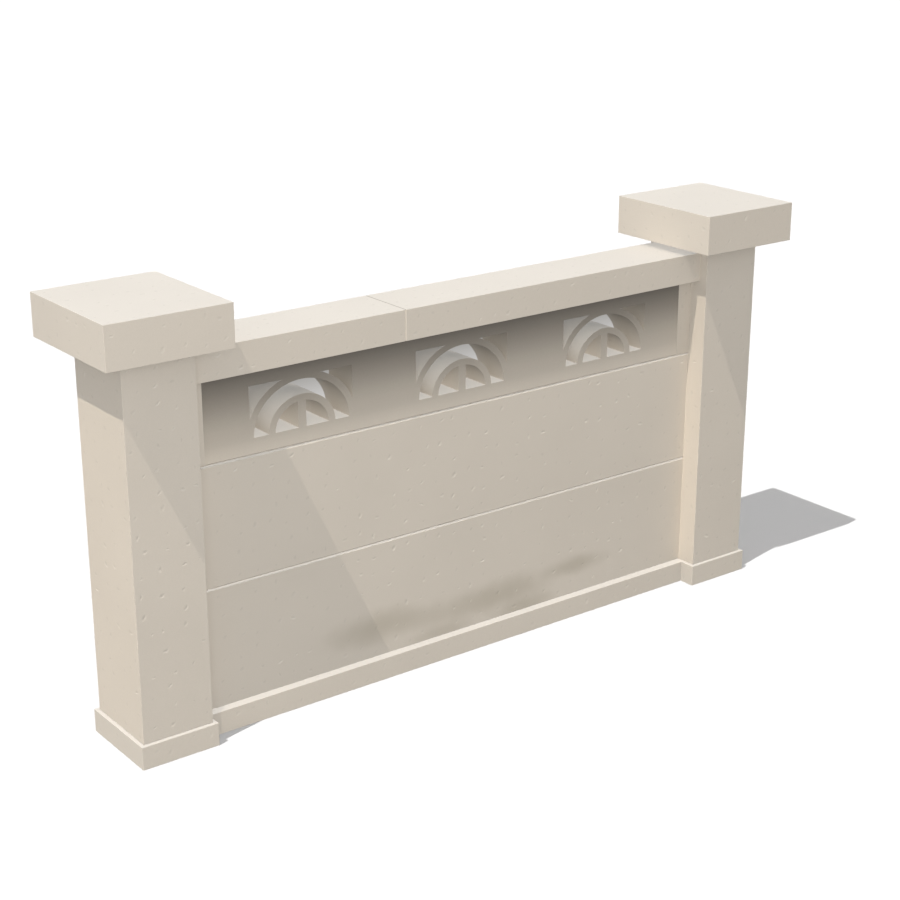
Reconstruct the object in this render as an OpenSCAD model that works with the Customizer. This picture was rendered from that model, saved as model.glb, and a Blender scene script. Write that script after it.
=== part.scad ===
// One bay of a precast concrete wall: two capped posts, and between them a
// ground rail, two plain panels, a panel pierced by three fan lights and a
// two-block coping. The panels stand on each other in grooves in the posts.
// X runs along the wall, +Y away from the front, +Z up from the ground.

/* [Wall] */
// Clear distance between the two posts
span = 2560; // [2000:10:3200]
// Thickness of the three wall panels
panel_t = 170; // [140:2:200]
// Height of the joint over the lower panel
joint_1 = 600; // [450:10:700]
// Height of the joint over the middle panel
joint_2 = 1100; // [1000:10:1110]

/* [Posts] */
// Width of a post shaft along the wall
post_w = 298; // [260:2:340]
// Depth of a post shaft through the wall
post_d = 363; // [330:1:400]
// Height from the ground to the underside of the cap
post_h = 1600; // [1590:5:1800]
// Thickness of the cap slab
cap_h = 170; // [120:5:200]
// How far the cap stands out past the shaft on every side
cap_out = 106; // [60:1:120]
// Height of the plinth block
plinth_h = 96; // [60:2:140]
// How far the plinth stands out past the shaft on every side
plinth_out = 16; // [8:1:30]
// How far the panel ends reach into the posts
groove_d = 45; // [30:1:60]

/* [Rail and coping] */
// Depth of the ground rail through the wall
rail_d = 246; // [220:2:280]
// Depth of the coping through the wall
coping_d = 276; // [240:2:300]
// Height of the coping's underside
coping_z = 1444; // [1430:2:1450]
// Thickness of the coping
coping_h = 128; // [90:2:130]
// Share of the clear span that the long coping block covers
coping_share = 0.625; // [0.5:0.025:0.75]

/* [Joints] */
// Chamfer on the long edges of the panels, along the joints between them
chamfer = 6; // [3:1:10]
// Chamfer on the front and back edges of the joint in the coping
coping_chamfer = 4; // [2:1:10]

/* [Fan lights] */
// Distance between the centres of neighbouring fans
fan_pitch = 774; // [620:2:780]
// Height of the fans' sill over the joint under their panel
fan_sill = 68; // [50:1:80]
// Width of the rectangle that a fan fills
fan_w = 468; // [440:2:500]
// Height of the rectangle that a fan fills
fan_h = 206; // [200:2:212]
// Half the width of the arch on the outside of the curved slot, at the sill
fan_r = 218; // [212:1:224]
// Rise of each arch as a share of half its width
fan_rise = 0.887; // [0.86:0.001:0.92]
// Width of the curved slot at the sill
fan_slot = 67; // [58:1:74]
// Width of the ribs at the sill
fan_rib = 30; // [26:1:34]
// Width of the upright bar in the half round
fan_bar = 36; // [28:1:44]
// Plain border at each end of the sunk field around the fans
field_border = 72; // [40:2:100]
// Depth of the sunk field on both faces
field_sink = 2; // [2:1:6]

/* [Hidden] */
// Room round a panel end in its groove
groove_gap = 3;
// Arcs are true curves from 13 facets up; this is only for the preview
$fn = 96;
// Extra reach of a cutting solid past the solid that it cuts
over = 1;
post_x = span / 2 + post_w / 2;
panel_l = span + 2 * (groove_d - groove_gap);
rail_l = span - 2 * plinth_out;
coping_joint_x = span / 2 - span * coping_share;
field_l = span - 2 * field_border;
concrete = "#CDC4B7";
shaded = "#B3AB9F";

// ---- Shared shapes ----

// A block centred on X and Y, standing at height z
module block(l, d, h, z = 0) {
    translate([-l / 2, -d / 2, z]) cube([l, d, h]);
}

// A slab of thickness t from z0 to z1, centred on the wall's mid-plane; its
// long edges are chamfered by low at the foot and by high at the head
module slab(l, t, z0, z1, low = 0, high = 0) {
    half = t / 2;
    rotate([90, 0, 90])
        linear_extrude(l, center = true)
            polygon([
                [-half + low, z0], [half - low, z0], [half, z0 + low],
                [half, z1 - high], [half - high, z1], [-half + high, z1],
                [-half, z1 - high], [-half, z0 + low]
            ]);
}

// ---- Posts, built at the origin and moved out by side = -1 or 1 ----

module post_plinth(side) {
    color(concrete)
        translate([side * post_x, 0, 0])
            block(post_w + 2 * plinth_out, post_d + 2 * plinth_out, plinth_h);
}

module post_shaft(side) {
    groove_w = panel_t + 2 * groove_gap;
    color(concrete)
        difference() {
            translate([side * post_x, 0, 0])
                block(post_w, post_d, post_h - plinth_h, plinth_h);
            translate([side * span / 2, 0, 0])
                block(2 * groove_d, groove_w, coping_z - plinth_h + over, plinth_h - over);
        }
}

module post_cap(side) {
    color(concrete)
        translate([side * post_x, 0, 0])
            block(post_w + 2 * cap_out, post_d + 2 * cap_out, cap_h, post_h);
}

module left_post_plinth() { post_plinth(-1); }
module left_post_shaft() { post_shaft(-1); }
module left_post_cap() { post_cap(-1); }
module right_post_plinth() { post_plinth(1); }
module right_post_shaft() { post_shaft(1); }
module right_post_cap() { post_cap(1); }

// ---- Wall between the posts ----

module base_rail() {
    color(concrete) block(rail_l, rail_d, plinth_h);
}

module lower_panel() {
    color(concrete) slab(panel_l, panel_t, plinth_h, joint_1, high = chamfer);
}

module middle_panel() {
    color(concrete) slab(panel_l, panel_t, joint_1, joint_2, low = chamfer, high = chamfer);
}

// An arch centred on the sill: a half ellipse r wide on each side
module arch(r) {
    intersection() {
        scale([1, fan_rise]) circle(r);
        translate([-r - over, 0]) square(2 * (r + over));
    }
}

// The outline of one fan's openings, with x = 0 on its centre line and y = 0
// on the sill: two open corners, a curved slot and a half round cut in two by
// an upright bar
module fan_openings() {
    slot_in = fan_r - fan_slot;
    difference() {
        translate([-fan_w / 2, 0]) square([fan_w, fan_h]);
        arch(fan_r + fan_rib);
    }
    difference() {
        arch(fan_r);
        arch(slot_in);
    }
    difference() {
        arch(slot_in - fan_rib);
        translate([-fan_bar / 2, -over]) square([fan_bar, fan_h]);
    }
}

module fan_panel() {
    color(shaded)
        difference() {
            union() {
                slab(panel_l, panel_t - 2 * field_sink, joint_2, coping_z, low = chamfer);
                for (side = [-1, 1])
                    translate([side * (field_l + panel_l) / 4, 0, 0])
                        slab((panel_l - field_l) / 2, panel_t, joint_2, coping_z, low = chamfer);
            }
            for (place = [-1, 0, 1])
                translate([place * fan_pitch, 0, joint_2 + fan_sill])
                    rotate([90, 0, 0])
                        linear_extrude(panel_t + 2 * over, center = true) fan_openings();
        }
}

// A coping block from x0 to x1; joint_end = -1 or 1 is the end at the joint,
// where its two upright edges are chamfered
module coping_block(x0, x1, joint_end) {
    half = coping_d / 2;
    tip = (x1 - x0) / 2;
    edge = coping_chamfer;
    color(concrete)
        translate([(x0 + x1) / 2, 0, coping_z])
            mirror([joint_end < 0 ? 1 : 0, 0, 0])
                linear_extrude(coping_h)
                    polygon([
                        [-tip, -half], [tip - edge, -half], [tip, -half + edge],
                        [tip, half - edge], [tip - edge, half], [-tip, half]
                    ]);
}

module coping_short() { coping_block(-span / 2, coping_joint_x, 1); }
module coping_long() { coping_block(coping_joint_x, span / 2, -1); }

left_post_plinth();
left_post_shaft();
left_post_cap();
right_post_plinth();
right_post_shaft();
right_post_cap();
base_rail();
lower_panel();
middle_panel();
fan_panel();
coping_short();
coping_long();
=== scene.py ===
"""The look of one bay of a precast concrete wall: its castings, its concrete and its stage."""
import math
from functools import partial

import bmesh
import bpy
import numpy as np
from bpy.props import FloatProperty, FloatVectorProperty, IntProperty, PointerProperty, StringProperty
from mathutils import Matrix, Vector


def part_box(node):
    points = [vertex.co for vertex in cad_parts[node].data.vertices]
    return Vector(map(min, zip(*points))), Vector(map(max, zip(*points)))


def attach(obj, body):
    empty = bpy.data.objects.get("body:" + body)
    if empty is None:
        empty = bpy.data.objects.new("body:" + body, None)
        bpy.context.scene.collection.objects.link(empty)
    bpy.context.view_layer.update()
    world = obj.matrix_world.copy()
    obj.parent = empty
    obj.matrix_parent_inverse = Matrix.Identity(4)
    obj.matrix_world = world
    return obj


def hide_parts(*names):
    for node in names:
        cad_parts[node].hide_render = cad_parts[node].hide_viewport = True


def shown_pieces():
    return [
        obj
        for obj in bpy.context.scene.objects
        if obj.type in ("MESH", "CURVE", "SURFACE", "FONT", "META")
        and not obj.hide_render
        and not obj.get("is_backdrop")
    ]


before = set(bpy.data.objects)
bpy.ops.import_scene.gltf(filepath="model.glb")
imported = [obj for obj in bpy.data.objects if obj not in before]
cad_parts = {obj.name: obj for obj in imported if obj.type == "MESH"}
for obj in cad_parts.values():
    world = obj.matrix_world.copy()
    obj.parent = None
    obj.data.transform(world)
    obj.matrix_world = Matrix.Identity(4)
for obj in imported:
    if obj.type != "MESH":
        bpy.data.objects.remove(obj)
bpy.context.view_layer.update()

bl_info = {
    "name": "Precast wall bay",
    "version": (1, 0, 0),
    "blender": (4, 5, 0),
    "location": "3D View > Sidebar > Precast wall",
    # The concrete carries grime, and painted shade and painted light
    "description": "Castings, concrete with grime and painted shade and a stage for one bay of a precast wall",
    "category": "Add Mesh",
}

BODY = "root"
MM = 0.001
X, Y, Z = 0, 1, 2
SIDES = {"left": -1, "right": 1}
WELD = 0.02 * MM  # points closer than this are one
SHARP = math.radians(60)  # edges sharper than this get an arris
RIM_STEPS = 4  # steps along each side of a cell of a cast face

# The rings of a pit, from its flat surround to its floor: their size, and their share of its depth.
# The list of depths starts with the rim of the cell that holds the pit.
PIT_SCALES = np.array([1.35, 1.0, 0.62, 0.3])
PIT_SINKS = np.array([0, 0, 0, 0.72, 1.0])
# The draws of a pit: lowest and highest size and depth as shares of the middling ones, lowest and
# highest width as a share of its length, most bend, and the mean and spread of its tilt in degrees
PIT_SIZES = (0.7, 1.3)
PIT_DEPTHS = (0.6, 1.2)
PIT_WIDTHS = (0.35, 0.7)
PIT_BEND = 0.35
PIT_TILT = (48, 28)
PIT_ROOM = 1.6  # room that a pit needs on each side of its centre, as a share of half its length
PIT_MARGIN = 3 * MM  # and more room, up to the rim of its cell

# Steps of the lines of a fan, where faces that meet need the same ones
STRIP_STEPS = 4  # up the strips of the field under the sills and over the fans
SIDE_STEPS = 8  # up a fan's side, below and above the end of its outer rib
HAUNCH_STEPS = 20  # along the outer rib, from its end up to where it meets the fan's top
CROWN_STEPS = 16  # along the outer rib's crown, over that
INNER_STEPS = 32  # along each side of the inner arches
BAR_STEPS = 8  # across the upright bar
RISE_STEPS = 6  # up the bar, and across a half of the half round
RIB_STEPS = 3  # across a rib
SLOT_STEPS = 4  # across the curved slot
LAND_STEPS = 6  # from a fan to half way to the next, and along the top of an open corner
LAND_CUTS = 2  # between an outer fan and the end of the field
DECIMALS = 7  # of a metre, to which two places along the panel are compared

# Patterns in the concrete, and what they do to its colour
CLOUD = 400 * MM  # size of the clouds of the mix
GRAIN = 5 * MM  # sand grains are under 1 mm; they are drawn this coarse, so that they show at all
RAGGED = 120 * MM  # size of the bays in the outline of a patch of painted shadow
NOISE = (0.3, 0.7)  # what nearly all of a noise lies between
MOTTLE = (0.985, 1.015)  # share of the colour that is left at these two ends
PIT_DIRT_AND_SHADE = 0.93  # share of the colour that is left on a pit's floor: grime, and painted shade in the hollow
ROUGHEN = 0.5  # how far the outline of a patch of painted shadow wanders, as a share of its size
SHADOW_FADE = (0.35, 1.25)  # where a patch of painted shadow starts to fade and where it ends, in half sizes
COPING_BOUNCE = 0.7  # share of its light that the coping throws on other faces
FAN_BOUNCE = 0.72  # the same for the pierced panel
JOINT_SHADE_HALF = 2.5 * MM  # half the width of the line of painted shade in the coping's joint
TOP_SKIN = 2 * MM  # how far that line reaches down from the coping's top
# Patches of painted shadow, a soft shadow along the foot of the lower panel: place along X and over the
# ground, half length, half height, strength
PAINTED_SHADOW_PATCHES = (
    (-0.44, 0.228, 0.36, 0.100, 0.80),
    (-0.14, 0.200, 0.30, 0.085, 0.45),
    (0.20, 0.202, 0.38, 0.095, 0.80),
    (0.63, 0.232, 0.25, 0.060, 0.80),
    (-0.11, 0.112, 0.24, 0.050, 0.60),
    (0.33, 0.112, 0.24, 0.058, 0.75),
)
# Painted shade on the fan panel, darker towards the coping as the shade under it: stops from its joint
# up to the coping, and the share of the colour that is left
PAINTED_SHADE = (
    (0.03, 1.0), (0.09, 0.965), (0.15, 0.90), (0.19, 0.845), (0.24, 0.81), (0.35, 0.755),
    (0.47, 0.66), (0.58, 0.552), (0.70, 0.445), (0.81, 0.355), (0.90, 0.30), (1.0, 0.265),
)
DOWN_FACING_SHADE = (0.85, 0.85, 0.85, 1)  # what the painted shade's colour is multiplied by on a face that looks down: more painted shade
UP_FACING_LIGHT = (1.17, 1.15, 1.12, 1)  # the same on a face that looks up: painted light

# Sockets of a Mix node that mixes colours
COLOUR_A = 6
COLOUR_B = 7
MIXED_COLOUR = 2
# Kinds of rays that may meet a sheet of the stage
RAYS = ("camera", "diffuse", "glossy", "transmission", "volume_scatter", "shadow")
WHITE = (1, 1, 1)
CARD_GAP = 12 * MM  # from the back of the coping to the card behind the openings
FLAG_INSET = 1 * MM  # from the coping's underside up to the flag in it
FAR = 30.0  # how far off on the left the flag stands that shades posts and panels
FLOOR_REACH = 200.0  # from the bay to the edge of the floor
CLIP_END = 500  # how far the camera sees
SENSOR = 36  # width of the camera's sensor in millimetres

# ---- Places that come from the frame ----

PANEL_LOW, PANEL_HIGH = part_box("lower_panel")
PANEL_HALF = PANEL_HIGH.y
JOINT_2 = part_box("middle_panel")[1].z
COPING_LOW, COPING_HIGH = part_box("coping_long")
SPAN_END = COPING_HIGH.x


# ---- Settings ----

# Kinds of settings
length = partial(FloatProperty, unit="LENGTH")
share = partial(FloatProperty, min=0, max=1, subtype="FACTOR")
level = partial(FloatProperty, min=0)
angle = partial(FloatProperty, subtype="ANGLE", unit="ROTATION")
direction = partial(FloatVectorProperty, size=3, subtype="XYZ")
light_colour = partial(FloatVectorProperty, size=3, min=0, subtype="COLOR")


class CastingSettings(bpy.types.PropertyGroup):
    """Edges and surface pits that all castings share"""

    arris: length(
        name="Arris", description="Width of the worn corner along every edge", default=1.2 * MM, min=0)
    chamfer: length(
        name="Panel chamfer", description="Chamfer on the long edges of the panels",
        default=6 * MM, min=0)
    coping_chamfer: length(
        name="Coping chamfer", description="Chamfer on the upright edges of the coping's joint",
        default=4 * MM, min=0)
    groove_depth: length(
        name="Groove depth", description="Depth of the groove in a post that takes the panels",
        default=45 * MM, min=0)
    pit_spacing: length(
        name="Pit spacing", description="Mean distance between two pits in a cast face",
        default=80 * MM, min=20 * MM)
    pit_share: share(
        name="Pit share", description="Share of the cells of a cast face that hold a pit", default=0.85)
    pit_length: length(
        name="Pit length", description="Length of a middling pit", default=22 * MM, min=1 * MM)
    pit_depth: length(
        name="Pit depth", description="Depth of a middling pit", default=0.75 * MM, min=0)


class FanSettings(bpy.types.PropertyGroup):
    """Sizes of the fan lights, measured from the middle of a fan's sill"""

    pitch: length(
        name="Pitch", description="Distance between the centres of neighbouring fans", default=774 * MM)
    sill: length(
        name="Sill", description="Height of the sill over the joint under the panel", default=68 * MM)
    width: length(
        name="Width", description="Width of the rectangle that a fan fills", default=468 * MM)
    height: length(
        name="Height", description="Height of the rectangle that a fan fills", default=206 * MM)
    radius: length(
        name="Slot radius", description="Half the width of the arch on the outside of the slot",
        default=218 * MM)
    rise: share(
        name="Rise", description="Rise of each arch as a share of half its width", default=0.887)
    slot: length(
        name="Slot width", description="Width of the curved slot at the sill", default=67 * MM)
    rib: length(
        name="Rib width", description="Width of the two ribs at the sill", default=30 * MM)
    bar: length(
        name="Bar width", description="Width of the upright bar in the half round", default=36 * MM)
    border: length(
        name="Border", description="Plain border at each end of the sunk field", default=72 * MM)
    sink: length(
        name="Field depth", description="Depth of the sunk field on both faces", default=2 * MM)
    arris: length(
        name="Arris", description="Width of the worn corner along the openings", default=0.4 * MM)


class FinishSettings(bpy.types.PropertyGroup):
    """Colours of the concrete, its grime and its painted shade and shadow, as sRGB hex values, and
    shares of grime, painted shade and painted light
    """

    concrete: StringProperty(
        name="Concrete", description="Face of the cast concrete", default="#CDC4B7")
    # Colour of the painted shadow along the foot of the lower panel
    splash: StringProperty(
        name="Painted shadow patches", description="Painted shadow along the foot of the lower panel", default="#B5AC9D")
    # Colour of the line of painted shade on top of the coping's joint
    joint_painted_shade: StringProperty(
        name="Joint shade line", description="Painted shade in the joint on top of the coping", default="#A0978A")
    edge_dirt: share(
        name="Dirt on panel edges", description="How much darker the chamfers of the panels are",
        default=0.12)
    # Painted shade: the middle panel's upper chamfer, under the pierced panel, is drawn darker
    under_fan_painted_shade: share(
        name="Painted shade under the fans", description="How much darker the chamfer is that catches what"
        " the rain washes off the pierced panel", default=0.28)
    # Painted shade: the right border of the pierced panel is drawn darker, where the right post and its
    # cap shade it
    border_painted_shade: share(
        name="Painted shade on the right border", description="How much darker the right border of the pierced"
        " panel is", default=0.06)
    # Painted light: the straight upright sides of the openings are drawn lighter
    reveal_painted_light: share(
        name="Painted light on reveals", description="How much lighter the straight upright sides of the openings"
        " are", default=0.20)


class StageSettings(bpy.types.PropertyGroup):
    """Camera, lamps, floor and the card of painted shade. A brightness is what the light adds to a white
    face across it.
    """

    camera_place: FloatVectorProperty(
        name="Camera", description="Where the camera stands",
        default=(-4.2927, -5.6757, 3.3996), size=3, subtype="TRANSLATION", unit="LENGTH")
    camera_bearing: angle(
        name="Bearing", description="Turn of the camera from +Y towards +X",
        default=math.radians(37.103))
    camera_dip: angle(
        name="Dip", description="Tilt of the camera below the horizon", default=math.radians(19.463))
    lens: FloatProperty(
        name="Lens", description="Focal length in millimetres", default=72.19)
    sun_way: direction(
        name="Sun direction", description="The way the sunlight travels", default=(0.475, 0.1065, -1.0))
    rest_way: direction(
        name="Sun direction, rest", description="The way the sunlight travels to the caps, plinths, rail"
        " and coping; it has more from the front, for clear shadows on them",
        default=(0.475, 0.40, -1.0))
    sun_size: angle(
        name="Sun size", description="Angle that the sun fills, which softens its shadows",
        default=math.radians(0.2))
    sun_colour: light_colour(
        name="Sun colour", description="Colour of the sunlight on the pieces", default=(1.08, 1.0, 0.9))
    upright_sun: level(
        name="Sun on posts and panels", description="Brightness of the sun on them", default=0.80)
    other_sun: level(
        name="Sun on the rest", description="Brightness of the sun on the caps, plinths, rail and"
        " coping", default=0.25)
    floor_sun: level(
        name="Sun on the floor", description="Brightness of the sun on the floor", default=1.95)
    floor_colour: light_colour(
        name="Colour on the floor", description="Colour of the sunlight on the floor, which makes it"
        " white", default=(0.87, 0.92, 1.0))
    above_fill: level(
        name="Fill from above", description="Brightness of the even light from above", default=0.68)
    above_colour: light_colour(
        name="Colour from above", description="Colour of the even light from above",
        default=(0.90, 1.0, 1.15))
    left_fill: level(
        name="Fill from the left", description="Brightness of the even light from the left",
        default=0.25)
    rest_fill: level(
        name="Fill on the rest", description="Brightness of more light from the left, on the caps and"
        " plinths", default=0.21)
    front_fill: level(
        name="Fill from the front", description="Brightness of the even light from the front, the right"
        " and behind", default=0.247)
    sky_low: level(
        name="Sky, low", description="Brightness of the sky at the horizon", default=0.9)
    sky_high: level(
        name="Sky, high", description="Brightness of the sky overhead", default=0.31)
    lamp_power: level(
        name="Soft lamp", description="Power of the soft lamp in front on the left", default=63,
        unit="POWER")
    lamp_size: length(
        name="Lamp size", description="Width of the soft lamp", default=3.0, min=0)
    lamp_place: FloatVectorProperty(
        name="Lamp place", description="Where the soft lamp stands",
        default=(-3.4, -4.5, 2.4), size=3, subtype="TRANSLATION", unit="LENGTH")
    lamp_way: direction(
        name="Lamp direction", description="The way the soft lamp looks", default=(0.55, 1.0, -0.25))
    floor: StringProperty(
        name="Floor", description="Colour of the floor", default="#AAA59F")
    floor_glow: StringProperty(
        name="Floor, indirect", description="Colour of the floor to light that bounces off it",
        default="#424242")
    # The card behind the openings glows with painted shade, paler at the foot
    card_low: StringProperty(
        name="Card, low", description="Colour of the card behind the openings at their foot",
        default="#D0CECC")
    card_high: StringProperty(
        name="Card, high", description="Colour of the card behind the openings at their top",
        default="#787671")


class WallSettings(bpy.types.PropertyGroup):
    """All settings of the bay"""

    casting: PointerProperty(type=CastingSettings)
    fan: PointerProperty(type=FanSettings)
    finish: PointerProperty(type=FinishSettings)
    stage: PointerProperty(type=StageSettings)
    seed: IntProperty(name="Seed", description="Start of the random draws", default=7)


def settings():
    """The bay's settings in the current scene"""
    return bpy.context.scene.precast_wall


def new_object(name, data):
    """A new object in the scene, which shows its data"""
    thing = bpy.data.objects.new(name, data)
    bpy.context.scene.collection.objects.link(thing)
    return thing


# ---- Surfaces ----


def grid_quads(rows, columns):
    """Corner numbers of the quads between the points of a grid that is numbered row by row"""
    row, column = np.meshgrid(np.arange(rows - 1), np.arange(columns - 1), indexing="ij")
    here = (row * columns + column).ravel()
    return np.stack([here, here + 1, here + columns + 1, here + columns], axis=1)


def unit_rim():
    """Points round the unit square, anticlockwise from its lower left corner: RIM_STEPS a side"""
    step = np.arange(RIM_STEPS) / RIM_STEPS
    low = np.zeros(RIM_STEPS)
    high = np.ones(RIM_STEPS)
    return np.concatenate([
        np.stack([step, low], 1), np.stack([high, step], 1),
        np.stack([1 - step, high], 1), np.stack([low, 1 - step], 1)])


def breaks(*stops):
    """Limits of cells: the span between each two stops is cut into equal cells, about a pit apart"""
    spacing = settings().casting.pit_spacing
    spans = [
        np.linspace(a, b, max(1, round((b - a) / spacing)) + 1)[:-1]
        for a, b in zip(stops, stops[1:])]
    return np.append(np.concatenate(spans), stops[-1])


def within(values, low, high):
    """The values from low to high"""
    return values[(values > low - WELD) & (values < high + WELD)]


def fine(cuts):
    """The breaks with the points between them, RIM_STEPS to a cell"""
    count = (len(cuts) - 1) * RIM_STEPS + 1
    return np.interp(np.arange(count) / RIM_STEPS, np.arange(len(cuts)), cuts)


def along(x, y, z):
    """Points whose X, Y and Z are lists or single values"""
    return np.stack(np.broadcast_arrays(x, y, z), axis=-1).astype(float)


def line(start, end, steps):
    """Points of a straight line, from start to end in equal steps"""
    way = np.linspace(0, 1, steps + 1)[:, None]
    return (1 - way) * np.array(start, float) + way * np.array(end, float)


class Shell:
    """The patches of one piece, which are welded into one closed surface at the end"""

    def __init__(self, seed):
        self.points = []
        self.hollow = []
        self.faces = []
        self.smooth = []
        self.dirt_and_painted_light = []
        self.count = 0
        self.random = np.random.default_rng(seed)

    def add(self, points, faces, hollow=None, smooth=False, dirt_and_painted_light=0.0):
        """Adds one patch: its points, the corner numbers of its faces, how deep each point lies in a
        pit, from 0 to 1, whether its faces are shaded smooth, and how much darker than the rest they
        are, as a share: grime on some faces, painted shade on others, and painted light below 0"""
        points = np.asarray(points, float).reshape(-1, 3)
        self.faces += (np.asarray(faces) + self.count).tolist()
        self.smooth += [smooth] * len(faces)
        self.dirt_and_painted_light += [dirt_and_painted_light] * len(faces)
        self.hollow.append(np.zeros(len(points)) if hollow is None else hollow)
        self.points.append(points)
        self.count += len(points)

    def ruled(self, first, second, steps=1, smooth=False, dirt_and_painted_light=0.0):
        """A ruled patch between two lines of points: P(s, t) = (1 - s) * first(t) + s * second(t)"""
        points = line(first.ravel(), second.ravel(), steps)
        self.add(points, grid_quads(steps + 1, len(first)), smooth=smooth, dirt_and_painted_light=dirt_and_painted_light)

    def polygon(self, points):
        """One flat face through the points"""
        self.add(points, [range(len(points))])

    def sheet(self, axis, at, cuts, out=0, dirt_and_painted_light=0.0):
        """A flat face across an axis, at one value of that axis. The breaks in cuts, one list for each
        axis, cut it into cells. With out, the way that the face looks, cells hold pits: the rings of
        a pit are P(ring, turn) = centre + scale(ring) * outline(turn), sunk by depth * sink(ring)."""
        u_axis = (axis + 1) % 3
        v_axis = (axis + 2) % 3
        u = cuts[u_axis]
        v = cuts[v_axis]
        low = np.stack(np.meshgrid(u[:-1], v[:-1], indexing="ij"), -1).reshape(-1, 1, 2)
        high = np.stack(np.meshgrid(u[1:], v[1:], indexing="ij"), -1).reshape(-1, 1, 2)
        rims = low + (high - low) * unit_rim()
        outlines, centres, depths = self.draw_pits(low, high, upright=v_axis == Z)
        pitted = (depths > 0) & (out != 0)

        def place(flat, height):
            """Points from their two places on the face and their height over it"""
            points = np.empty(flat.shape[:-1] + (3,))
            points[..., u_axis] = flat[..., 0]
            points[..., v_axis] = flat[..., 1]
            points[..., axis] = at + out * height
            return points

        plain = rims[~pitted]
        rim_count = rims.shape[1]
        self.add(place(plain, 0), np.arange(plain.size // 2).reshape(-1, rim_count), dirt_and_painted_light=dirt_and_painted_light)
        if not pitted.any():
            return
        scale = PIT_SCALES[:, None, None]
        rings = centres[pitted, None] + outlines[pitted, None] * scale
        rings = np.concatenate([rims[pitted, None], rings], axis=1)
        sink = np.broadcast_to(PIT_SINKS[:, None], rings.shape[:-1])
        points = place(rings, -sink * depths[pitted, None, None])
        number = np.arange(sink.size).reshape(sink.shape)
        following = np.roll(number, -1, axis=2)
        quads = np.stack([number[:, :-1], following[:, :-1], following[:, 1:], number[:, 1:]], -1)
        first = len(self.smooth)
        # The flat surround of each pit comes first, so that it can stay flat shaded
        self.add(points, np.concatenate([quads[:, 0].reshape(-1, 4), quads[:, 1:].reshape(-1, 4)]),
                 hollow=sink.ravel(), smooth=True, dirt_and_painted_light=dirt_and_painted_light)
        surround = quads[:, 0].size // 4
        self.smooth[first:first + surround] = [False] * surround
        self.faces += (number[:, -1] + self.count - len(points.reshape(-1, 3))).tolist()
        self.smooth += [True] * len(number)
        self.dirt_and_painted_light += [dirt_and_painted_light] * len(number)

    def draw_pits(self, low, high, upright):
        """Draws a pit for each cell: its outline about its centre, its centre, and its depth, which is
        0 where the cell has no pit. An outline is a bent ellipse, x = a cos t and
        y = b sin t + bend * x * x / a, turned by its tilt; on an upright face most lean to one side."""
        casting = settings().casting
        random = self.random
        count = len(low)
        size = random.uniform(*PIT_SIZES, count)
        long = (casting.pit_length / 2 * size)[:, None]
        slim = random.uniform(*PIT_WIDTHS, count)[:, None]
        bend = random.uniform(-PIT_BEND, PIT_BEND, count)[:, None]
        tilt = np.radians(random.normal(*PIT_TILT, count))[:, None]
        shift = random.uniform(-1, 1, (count, 1, 2))
        depth = casting.pit_depth * size * random.uniform(*PIT_DEPTHS, count)
        chosen = random.random(count) < casting.pit_share
        if not upright:
            tilt = np.pi / 2 - tilt
        room = (high - low) / 2 - PIT_ROOM * long[:, None] - PIT_MARGIN
        chosen &= (room > 0).all(axis=(1, 2))
        rim = unit_rim() - 0.5
        turn = np.arctan2(rim[:, 1], rim[:, 0]) - tilt
        x = long * np.cos(turn)
        y = long * slim * np.sin(turn) + bend * x * x / long
        outline = np.stack(
            [x * np.cos(tilt) - y * np.sin(tilt), x * np.sin(tilt) + y * np.cos(tilt)], -1)
        return outline, (low + high) / 2 + shift * np.maximum(room, 0), depth * chosen

    def make(self, name, finish, arris):
        """Welds the patches, turns all faces outwards, wears the sharp edges down to the arris, and
        returns the piece"""
        mesh = bpy.data.meshes.new(name)
        mesh.from_pydata(np.concatenate(self.points), [], self.faces)
        mesh.polygons.foreach_set("use_smooth", self.smooth)
        hollow = mesh.attributes.new("hollow", "FLOAT", "POINT")
        hollow.data.foreach_set("value", np.concatenate(self.hollow))
        dirt_and_painted_light = mesh.attributes.new("dirt_and_painted_light", "FLOAT", "FACE")
        dirt_and_painted_light.data.foreach_set("value", self.dirt_and_painted_light)
        shell = bmesh.new()
        shell.from_mesh(mesh)
        bmesh.ops.remove_doubles(shell, verts=shell.verts, dist=WELD)
        bmesh.ops.recalc_face_normals(shell, faces=shell.faces)
        open_edges = sum(not edge.is_manifold for edge in shell.edges)
        shell.to_mesh(mesh)
        shell.free()
        if open_edges:
            raise RuntimeError(f"{name} has {open_edges} open edges")
        mesh.materials.append(finish)
        piece = new_object(name, mesh)
        bevel = piece.modifiers.new("Arris", "BEVEL")
        bevel.width = arris
        bevel.segments = 2
        bevel.limit_method = "ANGLE"
        bevel.angle_limit = SHARP
        return piece


# ---- Materials ----


def linear(hex_colour):
    """Linear RGBA of an sRGB hex colour"""
    parts = [int(hex_colour[i:i + 2], 16) / 255 for i in (1, 3, 5)]
    return [c / 12.92 if c <= 0.04045 else ((c + 0.055) / 1.055) ** 2.4 for c in parts] + [1.0]


def add_node(tree, kind, inputs, out=0, **own):
    """Adds a node and returns its output out, or all of them where out is None. own sets the node's own
    values; inputs pairs a socket's name or number with a value, or with an output, which is then
    linked."""
    node = tree.nodes.new(kind)
    for key, value in own.items():
        setattr(node, key, value)
    for key, value in inputs.items():
        if isinstance(value, bpy.types.NodeSocket):
            tree.links.new(value, node.inputs[key])
        else:
            node.inputs[key].default_value = value
    return node.outputs if out is None else node.outputs[out]


def empty_tree(owner):
    """The node tree of a new material or world, with no node in it yet"""
    owner.use_nodes = True
    owner.node_tree.nodes.clear()
    return owner.node_tree


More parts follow.
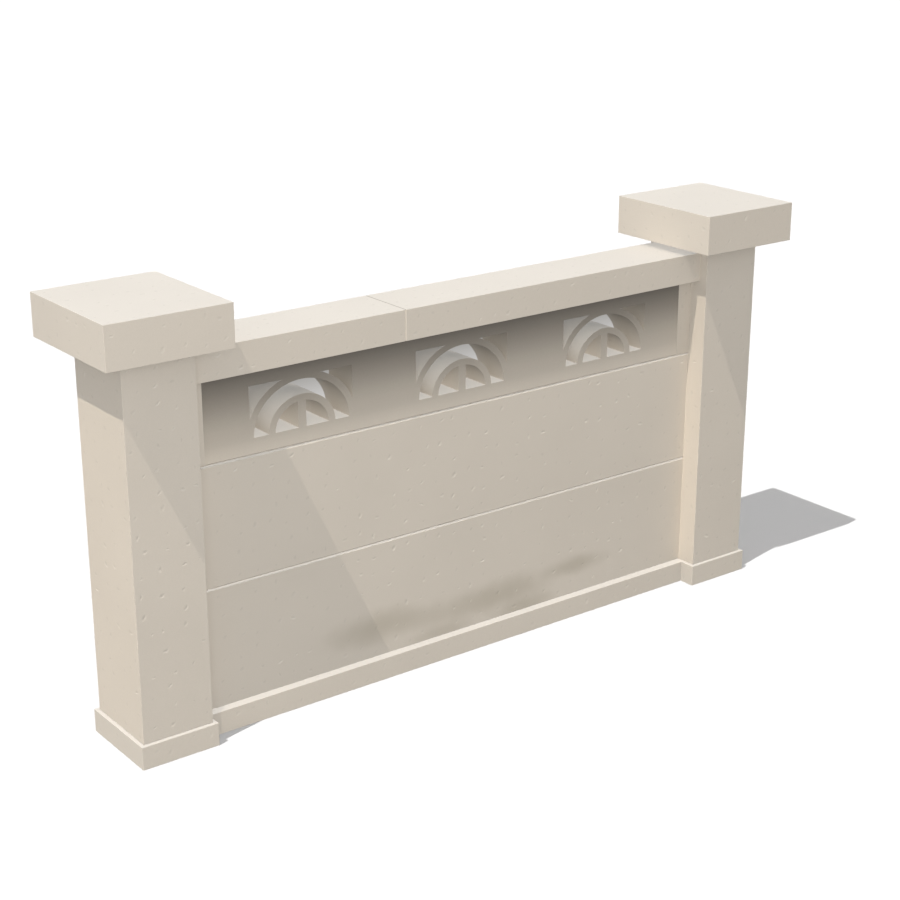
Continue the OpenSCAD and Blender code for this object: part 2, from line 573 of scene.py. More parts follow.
def concrete_material(name, tint, bounce=1.0):
    """Smooth wet-cast concrete, struck from a steel mould: matt and nearly even in colour, with a faint
    cloudiness from the mix, a fine sandy grain, and pits drawn darker towards their floor with grime and
    painted shade. tint(tree, place) gives the colour under these, and bounce the share of its light that
    it throws on other faces."""
    material = bpy.data.materials.new(name)
    tree = empty_tree(material)
    place = add_node(tree, "ShaderNodeTexCoord", {}, "Object")
    clouds = add_node(tree, "ShaderNodeTexNoise", {
        "Vector": place, "Scale": 1 / CLOUD, "Detail": 2.0}, "Fac")
    grain = add_node(tree, "ShaderNodeTexNoise", {
        "Vector": place, "Scale": 1 / GRAIN, "Detail": 3.0}, "Fac")
    hollow = add_node(tree, "ShaderNodeAttribute", {}, "Fac", attribute_name="hollow")
    # Grime, painted shade and, below 0, painted light on a face: from -1 for a face as light as it can
    # be made, over 0, to 1 for a black one
    dirt_and_painted_light = add_node(tree, "ShaderNodeAttribute", {}, "Fac", attribute_name="dirt_and_painted_light")
    bounced = add_node(tree, "ShaderNodeLightPath", {}, "Is Diffuse Ray")
    shade = 1.0
    for value, (start, end), (first, last) in (
            (clouds, NOISE, MOTTLE), (grain, NOISE, MOTTLE), (hollow, (0.0, 1.0), (1.0, PIT_DIRT_AND_SHADE)),
            (dirt_and_painted_light, (-1.0, 1.0), (2.0, 0.0)), (bounced, (0.0, 1.0), (1.0, bounce))):
        part = add_node(tree, "ShaderNodeMapRange", {
            "Value": value, "From Min": start, "From Max": end, "To Min": first, "To Max": last})
        shade = add_node(tree, "ShaderNodeMath", {0: shade, 1: part}, operation="MULTIPLY")
    colour = add_node(tree, "ShaderNodeMix", {
        0: 1.0, COLOUR_A: tint(tree, place), COLOUR_B: shade}, MIXED_COLOUR,
        data_type="RGBA", blend_type="MULTIPLY")
    bump = add_node(tree, "ShaderNodeBump", {
        "Height": grain, "Strength": 0.3, "Distance": 0.3 * MM})
    shader = add_node(tree, "ShaderNodeBsdfPrincipled", {
        "Base Color": colour, "Roughness": 0.9, "IOR": 1.5, "Specular IOR Level": 0.25,
        "Normal": bump})
    add_node(tree, "ShaderNodeOutputMaterial", {"Surface": shader}, None)
    return material


def clean_tint(tree, place):
    """The plain colour of the concrete"""
    return linear(settings().finish.concrete)


def painted_shade_tint(tree, place):
    """Painted shade on the sunk field and in its openings, darker the nearer it is to the coping. Faces
    that look up get painted light, a little lighter, and faces that look down get more painted shade."""
    parts = add_node(tree, "ShaderNodeSeparateXYZ", {0: place}, None)
    height = add_node(tree, "ShaderNodeMapRange", {
        "Value": parts["Z"], "From Min": JOINT_2, "From Max": COPING_LOW.z})
    ramp = add_node(tree, "ShaderNodeValToRGB", {"Fac": height})
    stops = ramp.node.color_ramp.elements
    stops.remove(stops[0])
    for position, left in PAINTED_SHADE[:-1]:
        stops.new(position).color = (left, left, left, 1)
    stops[-1].color = (PAINTED_SHADE[-1][1],) * 3 + (1,)
    # Painted light on faces that look up, painted shade on faces that look down
    normal = add_node(tree, "ShaderNodeTexCoord", {}, "Normal")
    up = add_node(tree, "ShaderNodeSeparateXYZ", {0: normal}, "Z")
    upward = add_node(tree, "ShaderNodeMapRange", {"Value": up, "From Min": -1.0})
    painted_light_by_facing = add_node(tree, "ShaderNodeMix", {
        0: upward, COLOUR_A: DOWN_FACING_SHADE, COLOUR_B: UP_FACING_LIGHT}, MIXED_COLOUR, data_type="RGBA")
    painted_shade_colour = add_node(tree, "ShaderNodeVectorMath", {0: ramp, 1: painted_light_by_facing}, operation="MULTIPLY")
    distance = add_node(tree, "ShaderNodeMath", {0: parts["X"]}, operation="ABSOLUTE")
    inside = add_node(tree, "ShaderNodeMath", {
        0: distance, 1: SPAN_END - settings().fan.border + WELD}, operation="LESS_THAN")
    return add_node(tree, "ShaderNodeMix", {
        0: inside, COLOUR_A: clean_tint(tree, place), COLOUR_B: painted_shade_colour}, MIXED_COLOUR,
        data_type="RGBA", blend_type="MULTIPLY")


def joint_shade_tint(tree, place):
    """A thin dark line on the coping's top, where its two blocks meet: painted shade, in place of the
    shaded gap between them
    """
    parts = add_node(tree, "ShaderNodeSeparateXYZ", {0: place}, None)
    offset = add_node(tree, "ShaderNodeMath", {0: parts["X"], 1: COPING_LOW.x}, operation="SUBTRACT")
    distance = add_node(tree, "ShaderNodeMath", {0: offset}, operation="ABSOLUTE")
    near = add_node(tree, "ShaderNodeMath", {0: distance, 1: JOINT_SHADE_HALF}, operation="LESS_THAN")
    on_top = add_node(tree, "ShaderNodeMath", {
        0: parts["Z"], 1: COPING_HIGH.z - TOP_SKIN}, operation="GREATER_THAN")
    both = add_node(tree, "ShaderNodeMath", {0: near, 1: on_top}, operation="MULTIPLY")
    return add_node(tree, "ShaderNodeMix", {
        0: both, COLOUR_A: clean_tint(tree, place),
        COLOUR_B: linear(settings().finish.joint_painted_shade)}, MIXED_COLOUR, data_type="RGBA")


def painted_shadow_tint(tree, place):
    """Painted shadow: soft dark patches along the foot of the front face"""
    wave = add_node(tree, "ShaderNodeTexNoise", {
        "Vector": place, "Scale": 1 / RAGGED, "Detail": 2.0}, "Fac")
    fade_start, fade_end = SHADOW_FADE
    unshadowed = 1.0
    for x, z, half_length, half_height, strength in PAINTED_SHADOW_PATCHES:
        offset = add_node(tree, "ShaderNodeVectorMath", {
            0: place, 1: (x, PANEL_LOW.y, z)}, operation="SUBTRACT")
        shrunk = add_node(tree, "ShaderNodeVectorMath", {
            0: offset, 1: (1 / half_length, 1 / half_height, 1 / half_height)}, operation="MULTIPLY")
        distance = add_node(tree, "ShaderNodeVectorMath", {0: shrunk}, "Value", operation="LENGTH")
        ragged = add_node(tree, "ShaderNodeMath", {
            0: wave, 1: ROUGHEN, 2: distance}, operation="MULTIPLY_ADD")
        share_outside_shadow = add_node(tree, "ShaderNodeMapRange", {
            "Value": ragged, "From Min": fade_start, "From Max": fade_end, "To Min": 1 - strength},
            interpolation_type="SMOOTHSTEP")
        unshadowed = add_node(tree, "ShaderNodeMath", {0: unshadowed, 1: share_outside_shadow}, operation="MULTIPLY")
    return add_node(tree, "ShaderNodeMix", {
        0: unshadowed, COLOUR_A: linear(settings().finish.splash), COLOUR_B: clean_tint(tree, place)},
        MIXED_COLOUR, data_type="RGBA")


# ---- Pieces ----


def stand_for(shell, node, finish, arris=None):
    """Makes a piece from its shell and puts it in the place of its CAD node"""
    worn = settings().casting.arris if arris is None else arris
    piece = shell.make(node + "_casting", finish, worn)
    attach(piece, BODY)
    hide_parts(node)


def clean_finish():
    """The concrete of the plain castings, made once"""
    name = "Wet-cast concrete"
    return bpy.data.materials.get(name) or concrete_material(name, clean_tint)


def new_shell(node):
    """An empty shell, whose random draws depend on the seed and the place of the node in the list"""
    return Shell([settings().seed, sorted(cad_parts).index(node)])


def make_block(node):
    """A plain block that fills its node's box, with pits in all its faces"""
    low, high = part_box(node)
    cuts = [breaks(low[axis], high[axis]) for axis in (X, Y, Z)]
    shell = new_shell(node)
    for axis in (X, Y, Z):
        shell.sheet(axis, low[axis], cuts, out=-1)
        shell.sheet(axis, high[axis], cuts, out=1)
    stand_for(shell, node, clean_finish())


def make_shaft(node, side):
    """A post shaft: a block with a groove in its inner face, which takes the ends of the panels"""
    low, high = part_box(node)
    inner = side * SPAN_END
    floor = inner + side * settings().casting.groove_depth
    outer = high.x if side > 0 else low.x
    groove_top = COPING_LOW.z
    x = breaks(*sorted([inner, floor, outer]))
    y = breaks(low.y, -PANEL_HALF, PANEL_HALF, high.y)
    z = breaks(low.z, groove_top, high.z)
    groove_x = within(x, min(inner, floor), max(inner, floor))
    body_x = within(x, min(floor, outer), max(floor, outer))
    front_y = within(y, low.y, -PANEL_HALF)
    groove_y = within(y, -PANEL_HALF, PANEL_HALF)
    back_y = within(y, PANEL_HALF, high.y)
    groove_z = within(z, low.z, groove_top)
    head_z = within(z, groove_top, high.z)
    shell = new_shell(node)
    # The last value is the way that a face with pits looks, and 0 for a face without them
    for axis, at, cuts, out in (
            (X, outer, [x, y, z], side), (Y, low.y, [x, y, z], -1), (Y, high.y, [x, y, z], 1),
            (X, inner, [x, front_y, groove_z], -side), (Z, low.z, [groove_x, front_y, z], 0),
            (X, inner, [x, back_y, groove_z], -side), (Z, low.z, [groove_x, back_y, z], 0),
            (X, inner, [x, y, head_z], 0), (X, floor, [x, groove_y, groove_z], 0),
            (Y, -PANEL_HALF, [groove_x, y, groove_z], 0), (Y, PANEL_HALF, [groove_x, y, groove_z], 0),
            (Z, groove_top, [groove_x, groove_y, z], 0), (Z, high.z, [x, y, z], 0),
            (Z, low.z, [body_x, y, z], 0)):
        shell.sheet(axis, at, cuts, out)
    stand_for(shell, node, clean_finish())


def make_plain_panel(node, finish, low_chamfer, high_chamfer, high_dirt_and_shade):
    """A panel: a section in Y and Z with up to eight sides, carried along X. Its upper chamfers are
    drawn darker by the last argument: grime on the lower panel, painted shade on the middle one."""
    low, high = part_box(node)
    foot = low.z + low_chamfer
    head = high.z - high_chamfer
    cuts = [breaks(low.x, -SPAN_END, SPAN_END, high.x), None, breaks(foot, head)]
    shell = new_shell(node)
    shell.sheet(Y, low.y, cuts, out=-1)
    shell.sheet(Y, high.y, cuts, out=1)
    x = fine(cuts[X])
    z = fine(cuts[Z])
    # The section under the front face, over it and back down to the back face's foot
    over = np.array([[low.y, head], [low.y + high_chamfer, high.z],
                     [high.y - high_chamfer, high.z], [high.y, head]])
    under = np.array([[high.y, foot], [high.y - low_chamfer, low.z],
                      [low.y + low_chamfer, low.z], [low.y, foot]])
    for side, dirt_and_painted_light in ((over, high_dirt_and_shade), (under, settings().finish.edge_dirt)):
        for (y_1, z_1), (y_2, z_2) in zip(side, side[1:]):
            if (y_1, z_1) != (y_2, z_2):
                shell.ruled(along(x, y_1, z_1), along(x, y_2, z_2), dirt_and_painted_light=dirt_and_painted_light)
    section = np.concatenate([
        along(low.y, z, 0)[:, :2], over, along(high.y, z[::-1], 0)[:, :2], under])
    repeated = (np.abs(section - np.roll(section, 1, axis=0)) < WELD).all(axis=1)
    section = section[~repeated]
    for end in (low.x, high.x):
        shell.polygon(along(end, section[:, 0], section[:, 1]))
    stand_for(shell, node, finish)


def make_coping(node, finish, joint_side):
    """A coping block whose end at the joint has its two upright edges chamfered"""
    low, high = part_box(node)
    chamfer = settings().casting.coping_chamfer
    joint, far = (high.x, low.x) if joint_side > 0 else (low.x, high.x)
    last = joint - joint_side * chamfer
    cuts = [breaks(*sorted([far, last])), breaks(low.y, high.y), breaks(low.z, high.z)]
    shell = new_shell(node)
    for axis in (Y, Z):
        shell.sheet(axis, low[axis], cuts, out=-1)
        shell.sheet(axis, high[axis], cuts, out=1)
    y = fine(cuts[Y])
    z = fine(cuts[Z])
    outline = np.concatenate([
        along(y[:-1], z[0], 0), along(y[-1], z[:-1], 0),
        along(y[:0:-1], z[-1], 0), along(y[0], z[::-1], 0)])[:, :2]
    inset = np.clip(outline, [y[0] + chamfer, z[0]], [y[-1] - chamfer, z[-1]])
    shell.ruled(along(last, *outline.T), along(joint, *inset.T))
    shell.polygon(along(joint, *inset[:-1].T))
    shell.polygon(along(far, *outline[:-1].T))
    stand_for(shell, node, finish)


def half_turns(*parts, crown_steps):
    """Turns from 0 to half a circle, in parts that are mirrored about the crown. Each of the parts
    gives the turn where it ends and its number of steps."""
    ends = [0] + [end for end, _ in parts]
    right = [np.linspace(a, b, n + 1) for a, b, (_, n) in zip(ends, ends[1:], parts)]
    crown = np.linspace(ends[-1], math.pi - ends[-1], crown_steps + 1)
    return right + [crown] + [math.pi - part[::-1] for part in right[::-1]]


class FanLines:
    """The lines of one fan, in X and in Z over its sill. Its arches are half ellipses about the middle
    of the sill; foot and top are the heights of the field's lower and upper edge over the sill."""

    def __init__(self, foot, top):
        fan = settings().fan
        self.half_bar = fan.bar / 2
        self.half_width = fan.width / 2
        self.half_pitch = fan.pitch / 2
        self.height = fan.height
        self.rise = fan.rise
        self.foot = foot
        self.top = top
        self.slot_out = fan.radius
        self.rib_out = fan.radius + fan.rib
        self.slot_in = fan.radius - fan.slot
        self.round = self.slot_in - fan.rib
        # Where the outer rib meets the side and the top of the fan's rectangle, and the bar the rib
        side_turn = math.acos(self.half_width / self.rib_out)
        top_turn = math.asin(self.height / (self.rise * self.rib_out))
        bar_turn = math.acos(self.half_bar / self.round)
        self.outer = half_turns(
            (side_turn, SIDE_STEPS), (top_turn, HAUNCH_STEPS), crown_steps=CROWN_STEPS)
        self.inner = half_turns((bar_turn, INNER_STEPS), crown_steps=BAR_STEPS)
        self.crown_x = self.arch(self.rib_out, self.outer[2])[0, 0]
        self.side_height = self.arch(self.rib_out, self.outer[0])[-1, 1]
        self.bar_top = self.arch(self.round, self.inner[1])

    def arch(self, radius, turns):
        """Points of an arch: x = radius cos t, z = rise * radius sin t"""
        return np.stack([radius * np.cos(turns), self.rise * radius * np.sin(turns)], axis=1)

    def sill_x(self):
        """X of the points along the sill, with one at each corner of a face or an opening"""
        stops = [self.half_bar, self.round, self.slot_in, self.slot_out, self.rib_out, self.half_pitch]
        steps = (RISE_STEPS, RIB_STEPS, SLOT_STEPS, RIB_STEPS, LAND_STEPS)
        right = np.concatenate(
            [np.linspace(a, b, n + 1)[1:] for a, b, n in zip(stops, stops[1:], steps)])
        return np.concatenate([-right[::-1], self.bar_top[::-1, 0], right])

    def top_x(self):
        """X of the points along the field's upper edge"""
        stops = [self.crown_x, self.half_width, self.half_pitch]
        right = np.concatenate(
            [np.linspace(a, b, LAND_STEPS + 1)[1:] for a, b in zip(stops, stops[1:])])
        crown = np.linspace(-self.crown_x, self.crown_x, CROWN_STEPS + 1)
        return np.concatenate([-right[::-1], crown, right])

    def side_z(self):
        """Heights of the points along the upright line between two fans"""
        stops = [self.foot, 0, self.side_height, self.height, self.top]
        steps = (STRIP_STEPS, SIDE_STEPS, SIDE_STEPS, STRIP_STEPS)
        parts = [np.linspace(a, b, n + 1)[:-1] for a, b, n in zip(stops, stops[1:], steps)]
        return np.append(np.concatenate(parts), self.top)

    def patches(self):
        """The solid parts of the fan's face: pairs of lines with the number of steps between them"""
        pitch, width, height, top = self.half_pitch, self.half_width, self.height, self.top
        low, crown = self.side_height, self.crown_x
        sill = along(self.sill_x(), 0, 0)[:, :2]
        ribs = [(self.arch(self.slot_out, t), self.arch(self.rib_out, t)) for t in self.outer]
        ribs += [(self.arch(self.round, t), self.arch(self.slot_in, t)) for t in self.inner]
        over_crown = line((crown, top), (-crown, top), CROWN_STEPS)
        found = [
            (sill + [0, self.foot], sill, STRIP_STEPS),
            (self.bar_top * [1, 0], self.bar_top, RISE_STEPS),
            *[(*rib, RIB_STEPS) for rib in ribs],
            (self.arch(self.rib_out, self.outer[2]), over_crown, STRIP_STEPS)]
        side = line((width, low), (width, height), SIDE_STEPS)
        over_side = line((width, height), (width, top), STRIP_STEPS)
        beside = [
            (self.arch(self.rib_out, self.outer[0]), line((pitch, 0), (pitch, low), SIDE_STEPS)),
            (side, line((pitch, low), (pitch, height), SIDE_STEPS)),
            (over_side, line((pitch, height), (pitch, top), STRIP_STEPS)),
            (line((crown, height), (crown, top), STRIP_STEPS), over_side)]
        return found + [
            (a * [hand, 1], b * [hand, 1], LAND_STEPS) for a, b in beside for hand in (1, -1)]

    def reveals(self):
        """The lines that go through the panel as the sides of its openings. Each comes with whether it
        is curved, and with how much darker it is drawn; the straight upright sides get painted light."""
        sill = self.sill_x()
        width, height, low = self.half_width, self.height, self.side_height
        curved = [self.arch(self.slot_out, t) for t in self.outer]
        curved += [self.arch(self.slot_in, t) for t in self.inner]
        right_curved = [self.arch(self.round, self.inner[0]), self.arch(self.rib_out, self.outer[1])]
        right_level = [
            along(within(sill, self.half_bar, self.round), 0, 0)[:, :2],
            along(within(sill, self.slot_in, self.slot_out), 0, 0)[:, :2],
            line((width, height), (self.crown_x, height), LAND_STEPS)]
        right_upright = [
            line((self.half_bar, 0), self.bar_top[0], RISE_STEPS),
            line((width, low), (width, height), SIDE_STEPS)]
        # Painted light on the straight upright sides
        painted_lighter = -settings().finish.reveal_painted_light
        found = [(part, True, 0.0) for part in curved]
        found += [
            (part * [hand, 1], is_curved, dirt_and_painted_light) for hand in (1, -1)
            for group, is_curved, dirt_and_painted_light in (
                (right_curved, True, 0.0), (right_level, False, 0.0), (right_upright, False, painted_lighter))
            for part in group]
        return found


def make_fan_panel(node):
    """The pierced panel: a sunk field with three fans, and a plain border at each end"""
    fan = settings().fan
    chamfer = settings().casting.chamfer
    low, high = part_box(node)
    edge = low.z + chamfer
    sill = low.z + fan.sill
    lines = FanLines(edge - sill, high.z - sill)
    half = high.y
    field = half - fan.sink
    field_end = SPAN_END - fan.border
    centres = [i * fan.pitch for i in (-1, 0, 1)]
    side_z = lines.side_z() + sill
    shell = new_shell(node)
    for centre in centres:
        for first, second, steps in lines.patches():
            for y in (-field, field):
                shell.ruled(along(first[:, 0] + centre, y, first[:, 1] + sill),
                            along(second[:, 0] + centre, y, second[:, 1] + sill), steps)
        for part, curved, dirt_and_painted_light in lines.reveals():
            x, z = part.T
            shell.ruled(along(x + centre, -field, z + sill), along(x + centre, field, z + sill),
                        smooth=curved, dirt_and_painted_light=dirt_and_painted_light)
    # The beds of the field, and its ends beyond the outer fans
    fans_end = centres[-1] + lines.half_pitch
    reach = np.linspace(fans_end, field_end, LAND_CUTS + 1)
    bed_x, top_x = (
        np.unique(np.round(np.concatenate(
            [-reach, *[x + centre for centre in centres], reach]), DECIMALS))
        for x in (lines.sill_x(), lines.top_x()))
    shell.ruled(along(bed_x, chamfer - field, low.z), along(bed_x, field - chamfer, low.z))
    shell.ruled(along(top_x, -field, high.z), along(top_x, field, high.z))
    for way in (-1, 1):
        shell.ruled(along(bed_x, way * field, edge), along(bed_x, way * (field - chamfer), low.z))
        for hand in (-1, 1):
            shell.ruled(along(hand * fans_end, way * field, side_z),
                        along(hand * field_end, way * field, side_z), LAND_CUTS)
    for hand in (-1, 1):
        add_border(shell, hand, field_end, high.x, side_z, (half, field), (low.z, edge, high.z))
    # The pierced panel's concrete carries painted shade, darkest under the coping
    finish = concrete_material("Wet-cast concrete with painted shade", painted_shade_tint, FAN_BOUNCE)
    stand_for(shell, node, finish, arris=fan.arris)


def add_border(shell, hand, start, end, field_z, depths, heights):
    """The plain end of the pierced panel, from the end of the field to the end of the panel. depths
    are the half thicknesses of border and field; heights are the bed, the chamfer's edge and the top."""
    half, field = depths
    bed, edge, top = heights
    chamfer = edge - bed
    # Painted shade on the right border
    dirt_and_painted_light = settings().finish.border_painted_shade if hand > 0 else 0.0
    cuts = [breaks(*sorted([hand * start, hand * SPAN_END, hand * end])), None, breaks(edge, top)]
    x = fine(cuts[X])
    z = fine(cuts[Z])
    for way in (-1, 1):
        shell.sheet(Y, way * half, cuts, out=way, dirt_and_painted_light=dirt_and_painted_light)
        shell.ruled(along(x, way * half, edge), along(x, way * (half - chamfer), bed))
        # The step down to the field
        step = np.concatenate([
            [[half - chamfer, bed]], along(half, z, 0)[:, :2],
            along(field, field_z[::-1], 0)[:, :2], [[field - chamfer, bed]]])
        shell.polygon(along(hand * start, way * step[:, 0], step[:, 1]))
    rims = [-half, -field, field, half]
    bed_rims = [chamfer - half, chamfer - field, field - chamfer, half - chamfer]
    for y, height in ((rims, top), (bed_rims, bed)):
        for y_1, y_2 in zip(y, y[1:]):
            shell.ruled(along(x, y_1, height), along(x, y_2, height))
    section = np.concatenate([
        along(-half, z, 0)[:, :2], [[-field, top], [field, top]], along(half, z[::-1], 0)[:, :2],
        [[y, bed] for y in bed_rims[::-1]]])
    shell.polygon(along(hand * end, section[:, 0], section[:, 1]))


# ---- Stage ----


def add_lamp(name, kind, way, **own):
    """A lamp that shines along a direction"""
    data = bpy.data.lights.new(name, kind)
    for key, value in own.items():
        setattr(data, key, value)
    lamp = new_object(name, data)
    lamp.rotation_euler = Vector(way).to_track_quat("-Z", "Y").to_euler()
    return lamp


def add_sun(name, way, brightness, **own):
    """A sun that adds brightness to a white face across its light"""
    return add_lamp(name, "SUN", way, energy=brightness * math.pi, **own)


def light_group(name, members):
    """A collection of pieces that a lamp lights, or that throw shadows from it"""
    group = bpy.data.collections.new(name)
    for member in members:
        group.objects.link(member)
    return group


def make_sheet(name, corners, rays, material=None):
    """A flat sheet of the stage, which only the given kinds of rays meet"""
    mesh = bpy.data.meshes.new(name)
    mesh.from_pydata(corners, [], [range(len(corners))])
    sheet = new_object(name, mesh)
    for ray in RAYS:
        setattr(sheet, "visible_" + ray, ray in rays)
    if material:
        mesh.materials.append(material)
    sheet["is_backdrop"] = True
    return sheet


def make_floor():
    """A wide level floor. It looks white where the sun reaches it and keeps the wall's shadow; to all
    other rays it is dark, so that it doesn't light the wall from below."""
    stage = settings().stage
    material = bpy.data.materials.new("Pale studio floor")
    tree = empty_tree(material)
    white, grey = (
        add_node(tree, "ShaderNodeBsdfDiffuse", {"Color": linear(colour)})
        for colour in (stage.floor, stage.floor_glow))
    mixed = add_node(tree, "ShaderNodeMixShader", {0: seen_directly(tree), 1: grey, 2: white})
    add_node(tree, "ShaderNodeOutputMaterial", {"Surface": mixed}, None)
    corners = [(x * FLOOR_REACH, y * FLOOR_REACH, 0) for x, y in ((-1, -1), (1, -1), (1, 1), (-1, 1))]
    return make_sheet("Floor", corners, RAYS, material)


def make_shade_card():
    """A card behind the pierced panel that glows with painted shade, darker towards its top, like the
    shade under the coping. Only the camera sees it, through the openings, and its back is clear."""
    stage = settings().stage
    fan = settings().fan
    material = bpy.data.materials.new("Painted shade card")
    tree = empty_tree(material)
    place = add_node(tree, "ShaderNodeTexCoord", {}, "Object")
    height = add_node(tree, "ShaderNodeSeparateXYZ", {0: place}, "Z")
    sill = JOINT_2 + fan.sill
    climb = add_node(tree, "ShaderNodeMapRange", {
        "Value": height, "From Min": sill, "From Max": sill + fan.height})
    colour = add_node(tree, "ShaderNodeMix", {
        0: climb, COLOUR_A: linear(stage.card_low), COLOUR_B: linear(stage.card_high)},
        MIXED_COLOUR, data_type="RGBA")
    grey = add_node(tree, "ShaderNodeEmission", {"Color": colour})
    clear = add_node(tree, "ShaderNodeBsdfTransparent", {})
    behind = add_node(tree, "ShaderNodeNewGeometry", {}, "Backfacing")
    mixed = add_node(tree, "ShaderNodeMixShader", {0: behind, 1: grey, 2: clear})
    add_node(tree, "ShaderNodeOutputMaterial", {"Surface": mixed}, None)
    y = COPING_HIGH.y + CARD_GAP
    corners = [(-SPAN_END, y, JOINT_2), (SPAN_END, y, JOINT_2),
               (SPAN_END, y, COPING_LOW.z), (-SPAN_END, y, COPING_LOW.z)]
    make_sheet("Painted shade card", corners, ("camera",), material)


def make_flag():
    """A triangle inside the right end of the coping, which stands in for it as the coping casts no
    sun shadow on posts and panels: it shades what the coping would on the inner face of the right
    post. That face's shade runs back and down from the coping's lower edge to the panels' front, and
    the triangle is that shade moved up along the sunlight."""
    way = settings().stage.sun_way
    drop = (PANEL_LOW.y - COPING_LOW.y) * -way[Z] / way[Y]
    z = COPING_LOW.z + FLAG_INSET
    corners = [(SPAN_END, COPING_LOW.y, z), (SPAN_END + drop * way[X] / way[Z], COPING_LOW.y, z),
               (SPAN_END, PANEL_LOW.y, z)]
    return make_sheet("Sun flag", corners, ("shadow",))


def make_side_flag():
    """A sheet far off on the left that keeps the level light from there off the posts' shafts and off
    what stands between them, so that it lights the caps and plinths only"""
    low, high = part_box("left_post_shaft")
    corners = [
        (-FAR, y, z) for y, z in ((low.y, low.z), (high.y, low.z), (high.y, high.z), (low.y, high.z))]
    return make_sheet("Side flag", corners, ("shadow",))


def seen_directly(tree):
    """1 for camera, glossy and transmission rays, and 0 for all others"""
    path = add_node(tree, "ShaderNodeLightPath", {}, None)
    either = add_node(tree, "ShaderNodeMath", {
        0: path["Is Camera Ray"], 1: path["Is Glossy Ray"]}, operation="MAXIMUM")
    return add_node(tree, "ShaderNodeMath", {
        0: either, 1: path["Is Transmission Ray"]}, operation="MAXIMUM")


def make_world():
    """An even sky, brighter at the horizon, that looks white"""
    stage = settings().stage
    world = bpy.data.worlds.new("Soft sky")
    bpy.context.scene.world = world
    tree = empty_tree(world)
    way = add_node(tree, "ShaderNodeTexCoord", {}, "Generated")
    height = add_node(tree, "ShaderNodeSeparateXYZ", {0: way}, "Z")
    strength = add_node(tree, "ShaderNodeMapRange", {
        "Value": height, "To Min": stage.sky_low, "To Max": stage.sky_high})
    sky, white = (
        add_node(tree, "ShaderNodeBackground", {"Color": (*WHITE, 1), "Strength": value})
        for value in (strength, 1.0))
    mixed = add_node(tree, "ShaderNodeMixShader", {0: seen_directly(tree), 1: sky, 2: white})
    add_node(tree, "ShaderNodeOutputWorld", {"Surface": mixed}, None)


def make_camera():
    """The camera, which looks along its bearing and down by its dip"""
    stage = settings().stage
    data = bpy.data.cameras.new("Camera")
    data.sensor_width = SENSOR
    data.lens = stage.lens
    data.clip_end = CLIP_END
    camera = new_object("Camera", data)
    camera.location = stage.camera_place
    camera.rotation_euler = (math.pi / 2 - stage.camera_dip, 0, -stage.camera_bearing)
    bpy.context.scene.camera = camera


# ---- Operators ----


class PostsOperator(bpy.types.Operator):
    """Makes the plinth, the shaft and the cap of both posts"""

    bl_idname = "precast_wall.posts"
    bl_label = "Posts"

    def execute(self, context):
        for name, side in SIDES.items():
            make_block(name + "_post_plinth")
            make_shaft(name + "_post_shaft", side)
            make_block(name + "_post_cap")
        return {"FINISHED"}


class RailOperator(bpy.types.Operator):
    """Makes the ground rail between the posts"""

    bl_idname = "precast_wall.rail"
    bl_label = "Ground rail"

    def execute(self, context):
        make_block("base_rail")
        return {"FINISHED"}


class PlainPanelsOperator(bpy.types.Operator):
    """Makes the lower and the middle panel"""

    bl_idname = "precast_wall.plain_panels"
    bl_label = "Plain panels"

    def execute(self, context):
        chamfer = settings().casting.chamfer
        finish = settings().finish
        # The lower panel carries painted shadow along its foot
        shadowed_finish = concrete_material("Wet-cast concrete with painted shadow", painted_shadow_tint)
        make_plain_panel("lower_panel", shadowed_finish, 0, chamfer, finish.edge_dirt)
        # The middle panel's upper chamfer gets painted shade, under the pierced panel
        make_plain_panel("middle_panel", clean_finish(), chamfer, chamfer, finish.under_fan_painted_shade)
        return {"FINISHED"}


class FanPanelOperator(bpy.types.Operator):
    """Makes the panel that the three fan lights pierce"""

    bl_idname = "precast_wall.fan_panel"
    bl_label = "Fan panel"

    def execute(self, context):
        make_fan_panel("fan_panel")
        return {"FINISHED"}


class CopingOperator(bpy.types.Operator):
    """Makes the two coping blocks"""

    bl_idname = "precast_wall.coping"
    bl_label = "Coping"

    def execute(self, context):
        # The coping's top carries a line of painted shade at its joint
        finish = concrete_material("Wet-cast concrete of the coping", joint_shade_tint, COPING_BOUNCE)
        make_coping("coping_short", finish, 1)
        make_coping("coping_long", finish, -1)
        return {"FINISHED"}


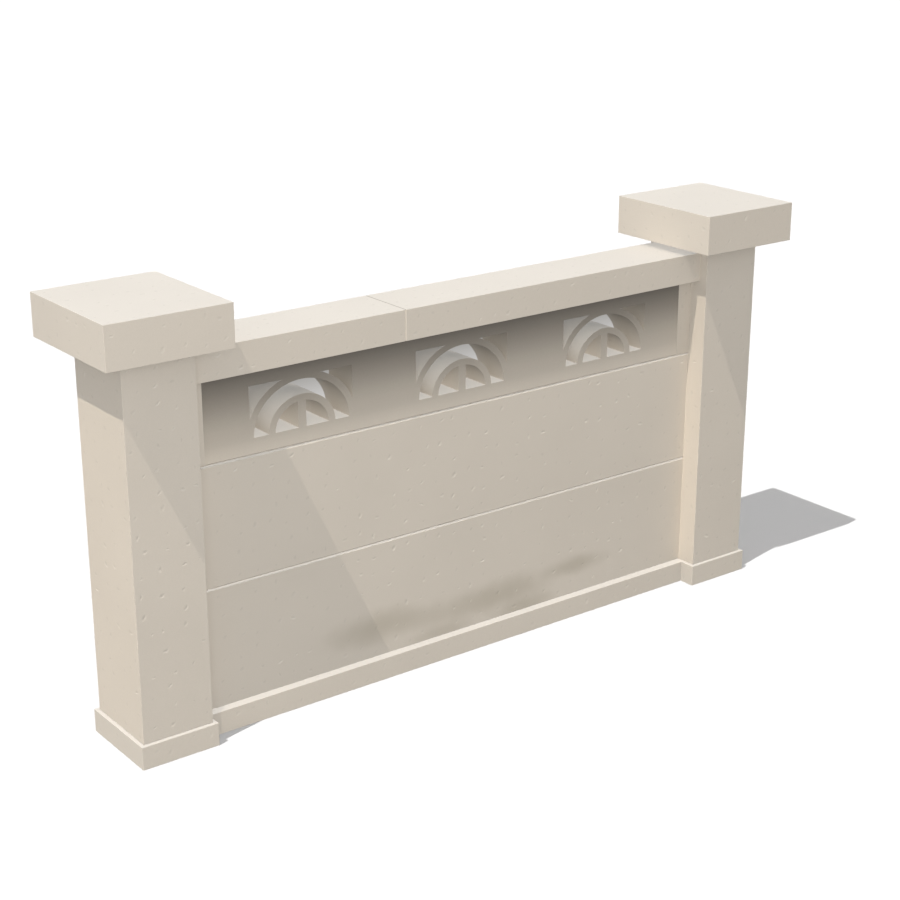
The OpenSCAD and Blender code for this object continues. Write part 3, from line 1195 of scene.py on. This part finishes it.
class StageOperator(bpy.types.Operator):
    """Makes the floor, the sky, the lamps and the camera"""

    bl_idname = "precast_wall.stage"
    bl_label = "Stage"

    def execute(self, context):
        stage = settings().stage
        pieces = [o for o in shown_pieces() if not o.hide_render]
        if not pieces:
            raise RuntimeError("the stage is made after the pieces")
        floor = make_floor()
        # Painted shade seen through the openings
        make_shade_card()
        make_world()
        make_camera()
        # The coping keeps the sun off the fan panel; its shadow on the panels further down is left out
        sunlit = [o for o in pieces if not o.name.startswith("fan")]
        uprights = [o for o in sunlit if "shaft" in o.name or "panel" in o.name]
        others = [o for o in sunlit if o not in uprights]
        for piece in others:
            # The rail and the plinths throw no glow back up at the foot of the wall
            piece.visible_diffuse = piece.name.startswith("coping") or "cap" in piece.name
        blockers = light_group("Sun blockers", [
            make_flag(), *[o for o in pieces if not o.name.startswith("coping")]])
        for name, receivers, casters, way, brightness, colour in (
                ("the uprights", light_group("Uprights", uprights), blockers, stage.sun_way,
                 stage.upright_sun, stage.sun_colour),
                ("the rest", light_group("Other castings", others), blockers, stage.rest_way,
                 stage.other_sun, stage.sun_colour),
                ("the floor", light_group("Ground", [floor]), light_group("Pieces", pieces),
                 stage.sun_way, stage.floor_sun, stage.floor_colour)):
            sun = add_sun("Sun on " + name, way, brightness, color=colour, angle=stage.sun_size)
            sun.light_linking.receiver_collection = receivers
            sun.light_linking.blocker_collection = casters
        for name, way, brightness, colour in (
                ("from above", (0, 0, -1), stage.above_fill, stage.above_colour),
                ("from the left", (1, 0, 0), stage.left_fill, WHITE),
                ("from the front", (0, 1, 0), stage.front_fill, WHITE),
                ("from the right", (-1, 0, 0), stage.front_fill, WHITE),
                ("from behind", (0, -1, 0), stage.front_fill, WHITE)):
            add_sun("Fill " + name, way, brightness, color=colour, use_shadow=False)
        side = add_sun("Fill on the rest", (1, 0, 0), stage.rest_fill, angle=0)
        side.light_linking.blocker_collection = light_group("Side blockers", [make_side_flag()])
        soft = add_lamp(
            "Soft lamp", "AREA", stage.lamp_way, energy=stage.lamp_power, size=stage.lamp_size)
        soft.location = stage.lamp_place
        return {"FINISHED"}


class WallPanel(bpy.types.Panel):
    """Lists the pieces of the bay in the sidebar"""

    bl_idname = "VIEW3D_PT_precast_wall"
    bl_label = "Precast wall bay"
    bl_space_type = "VIEW_3D"
    bl_region_type = "UI"
    bl_category = "Precast wall"

    def draw(self, context):
        for operator in OPERATORS:
            self.layout.operator(operator.bl_idname)


OPERATORS = (
    PostsOperator, RailOperator, PlainPanelsOperator, FanPanelOperator, CopingOperator, StageOperator)
CLASSES = (
    CastingSettings, FanSettings, FinishSettings, StageSettings, WallSettings, *OPERATORS, WallPanel)


def register():
    """Registers the classes, and the settings of the scene"""
    for cls in CLASSES:
        bpy.utils.register_class(cls)
    bpy.types.Scene.precast_wall = PointerProperty(type=WallSettings)


def unregister():
    """Undoes register"""
    del bpy.types.Scene.precast_wall
    for cls in reversed(CLASSES):
        bpy.utils.unregister_class(cls)


def main():
    """Makes the pieces and the stage"""
    register()
    bpy.context.scene.view_settings.view_transform = "Standard"
    for operator in OPERATORS:
        group, name = operator.bl_idname.split(".")
        getattr(getattr(bpy.ops, group), name)()


if __name__ == "__main__":
    main()
